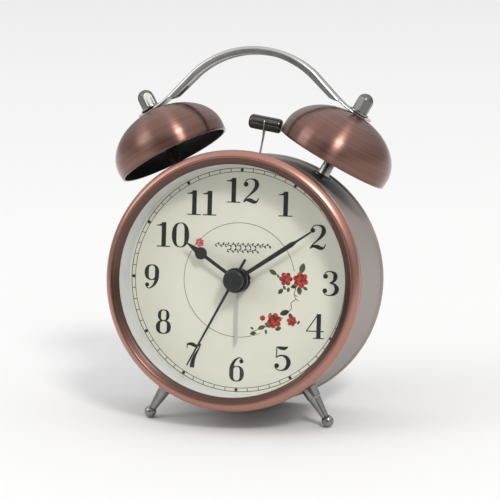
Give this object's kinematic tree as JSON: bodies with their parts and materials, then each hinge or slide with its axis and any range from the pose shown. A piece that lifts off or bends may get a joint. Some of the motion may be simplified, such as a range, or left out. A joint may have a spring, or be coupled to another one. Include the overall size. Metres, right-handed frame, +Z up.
{
  "type": "alarm clock",
  "caption": "Twin-bell quartz alarm clock with copper bells and bezel, carrying handle, swinging hammer, working hands and gear train, standing on two ball feet.",
  "frame": {"origin": "bottom centre of the bounding box, on the surface the clock stands on", "axes": "+X to the right as the dial is read, +Y to the back, +Z up; the dial leans back about 10 degrees"},
  "size_m": [0.1238, 0.0792, 0.1607],
  "materials": {
    "antique_copper": "antique copper plate, lathe brushed and lacquered",
    "brushed_case": "brushed steel with a faint copper wash",
    "polished_nickel": "satin nickel plate",
    "glass": "clear flat glass",
    "rubber": "thin black gasket",
    "reflector_paint": "satin pale grey",
    "dial_paint": "cream paint with printed numerals",
    "black_paint": "satin black",
    "silver_paint": "satin silver",
    "black_plastic": "fine moulded texture",
    "white_plastic": "moulded",
    "steel": "bright steel",
    "brass": "turned",
    "gunmetal": "dark polished gunmetal",
    "magnet": "moulded magnet",
    "copper_wire": "enamelled winding",
    "circuit_green": "solder mask",
    "can_steel": "bright can",
    "cell_wrap": "plain film wrap",
    "spring_brass": "plated spring sheet"
  },
  "bodies": {
    "case": {"drum_case": "brushed_case", "bezel_ring": "antique_copper", "lens": "glass", "lens_gasket": "rubber", "reflector_ring": "reflector_paint", "dial": "dial_paint", "dial_carrier": "white_plastic", "back_cover": "black_plastic", "cover_screws": "steel", "aa_cell": "cell_wrap", "battery_contacts": "spring_brass", "bell_left": "antique_copper", "bell_right": "antique_copper", "post_left": "polished_nickel", "post_right": "polished_nickel", "post_nuts": "polished_nickel", "washers": "polished_nickel", "cap_nuts": "polished_nickel", "handle": "polished_nickel", "foot_left": "polished_nickel", "foot_right": "polished_nickel", "foot_nuts": "polished_nickel", "movement_front_plate": "white_plastic", "movement_rear_shell": "white_plastic", "train_pins": "steel", "centre_bush": "brass", "bush_nut": "black_paint", "stator": "steel", "coil": "copper_wire", "circuit_board": "circuit_green", "quartz_can": "can_steel", "motor_bracket": "steel", "bell_motor": "steel", "hammer_pin": "steel"},
    "second_train": {"second_wheel": "steel", "second_hand": "black_paint", "hub_cap": "black_paint"},
    "intermediate": {"intermediate_wheel": "white_plastic"},
    "rotor": {"rotor": "magnet"},
    "third": {"third_wheel": "white_plastic"},
    "centre": {"centre_wheel": "white_plastic"},
    "minute": {"minute_pipe": "brass", "minute_hand": "black_paint"},
    "minute_work": {"minute_work_wheel": "white_plastic"},
    "hour": {"hour_wheel": "white_plastic", "hour_hand": "black_paint"},
    "time_setter": {"time_stem": "steel", "time_knob": "black_plastic"},
    "alarm": {"alarm_wheel": "white_plastic", "alarm_hand": "silver_paint"},
    "alarm_setter": {"alarm_stem": "steel", "alarm_knob": "black_plastic"},
    "switch": {"alarm_switch": "black_plastic"},
    "door": {"battery_door": "black_plastic"},
    "motor": {"motor_pinion": "brass"},
    "crank": {"crank_gear": "brass"},
    "hammer": {"hammer_arm": "steel", "hammer_head": "gunmetal"}
  },
  "joints": [
    {"name": "second_spin", "type": "hinge", "parent": "case", "child": "second_train", "pos_m": [0, -0.00412, 0.06064], "axis": [0, 0.9845, -0.1752], "continuous": true},
    {"name": "intermediate_spin", "type": "hinge", "parent": "case", "child": "intermediate", "pos_m": [0.00789, 0.00032, 0.06276], "axis": [0, 0.9845, -0.1752], "continuous": true},
    {"name": "rotor_spin", "type": "hinge", "parent": "case", "child": "rotor", "pos_m": [0.0141, 0.0021, 0.06134], "axis": [0, 0.9845, -0.1752], "continuous": true},
    {"name": "third_spin", "type": "hinge", "parent": "case", "child": "third", "pos_m": [-0.00764, -0.00179, 0.06798], "axis": [0, 0.9845, -0.1752], "continuous": true},
    {"name": "centre_spin", "type": "hinge", "parent": "case", "child": "centre", "pos_m": [0, -0.00402, 0.06062], "axis": [0, 0.9845, -0.1752], "continuous": true},
    {"name": "minute_spin", "type": "hinge", "parent": "case", "child": "minute", "pos_m": [0, -0.02578, 0.06449], "axis": [0, 0.9845, -0.1752], "continuous": true},
    {"name": "minute_work_spin", "type": "hinge", "parent": "case", "child": "minute_work", "pos_m": [0.005, -0.0076, 0.05246], "axis": [0, 0.9845, -0.1752], "continuous": true},
    {"name": "hour_spin", "type": "hinge", "parent": "case", "child": "hour", "pos_m": [0, -0.01101, 0.06186], "axis": [0, 0.9845, -0.1752], "continuous": true},
    {"name": "time_knob_spin", "type": "hinge", "parent": "case", "child": "time_setter", "pos_m": [0.01063, 0.01038, 0.03936], "axis": [0, 0.9845, -0.1752], "continuous": true},
    {"name": "alarm_spin", "type": "hinge", "parent": "case", "child": "alarm", "pos_m": [0, -0.01101, 0.06186], "axis": [0, 0.9845, -0.1752], "continuous": true},
    {"name": "alarm_knob_spin", "type": "hinge", "parent": "case", "child": "alarm_setter", "pos_m": [-0.01039, 0.01255, 0.05158], "axis": [0, 0.9845, -0.1752], "continuous": true},
    {"name": "crank_spin", "type": "hinge", "parent": "case", "child": "crank", "pos_m": [-0.013, 0.01239, 0.0963], "axis": [0, 0.9845, -0.1752], "continuous": true},
    {"name": "motor_spin", "type": "hinge", "parent": "case", "child": "motor", "pos_m": [-0.0198, 0.01183, 0.09315], "axis": [0, 0.9845, -0.1752], "continuous": true},
    {"name": "hammer_swing", "type": "hinge", "parent": "case", "child": "hammer", "pos_m": [0, 0.01021, 0.09435], "axis": [0, 0.9845, -0.1752], "range_deg": [-20.6, 1]},
    {"name": "alarm_switch_slide", "type": "slide", "parent": "case", "child": "switch", "axis": [1, 0, 0], "range_m": [0, 0.004]},
    {"name": "battery_door_lift", "type": "slide", "parent": "case", "child": "door", "axis": [0, 0.9845, -0.1752], "range_m": [0, 0.02]}
  ],
  "couplings": [
    {"joint": "intermediate_spin", "follows": "second_spin", "ratio": -5},
    {"joint": "rotor_spin", "follows": "second_spin", "ratio": 30},
    {"joint": "third_spin", "follows": "second_spin", "ratio": -0.13333},
    {"joint": "centre_spin", "follows": "second_spin", "ratio": 0.016667},
    {"joint": "minute_work_spin", "follows": "minute_spin", "ratio": -0.33333},
    {"joint": "hour_spin", "follows": "minute_spin", "ratio": 0.083333},
    {"joint": "time_knob_spin", "follows": "minute_spin", "ratio": 0.66667},
    {"joint": "alarm_knob_spin", "follows": "alarm_spin", "ratio": -3},
    {"joint": "motor_spin", "follows": "crank_spin", "ratio": -4}
  ]
}
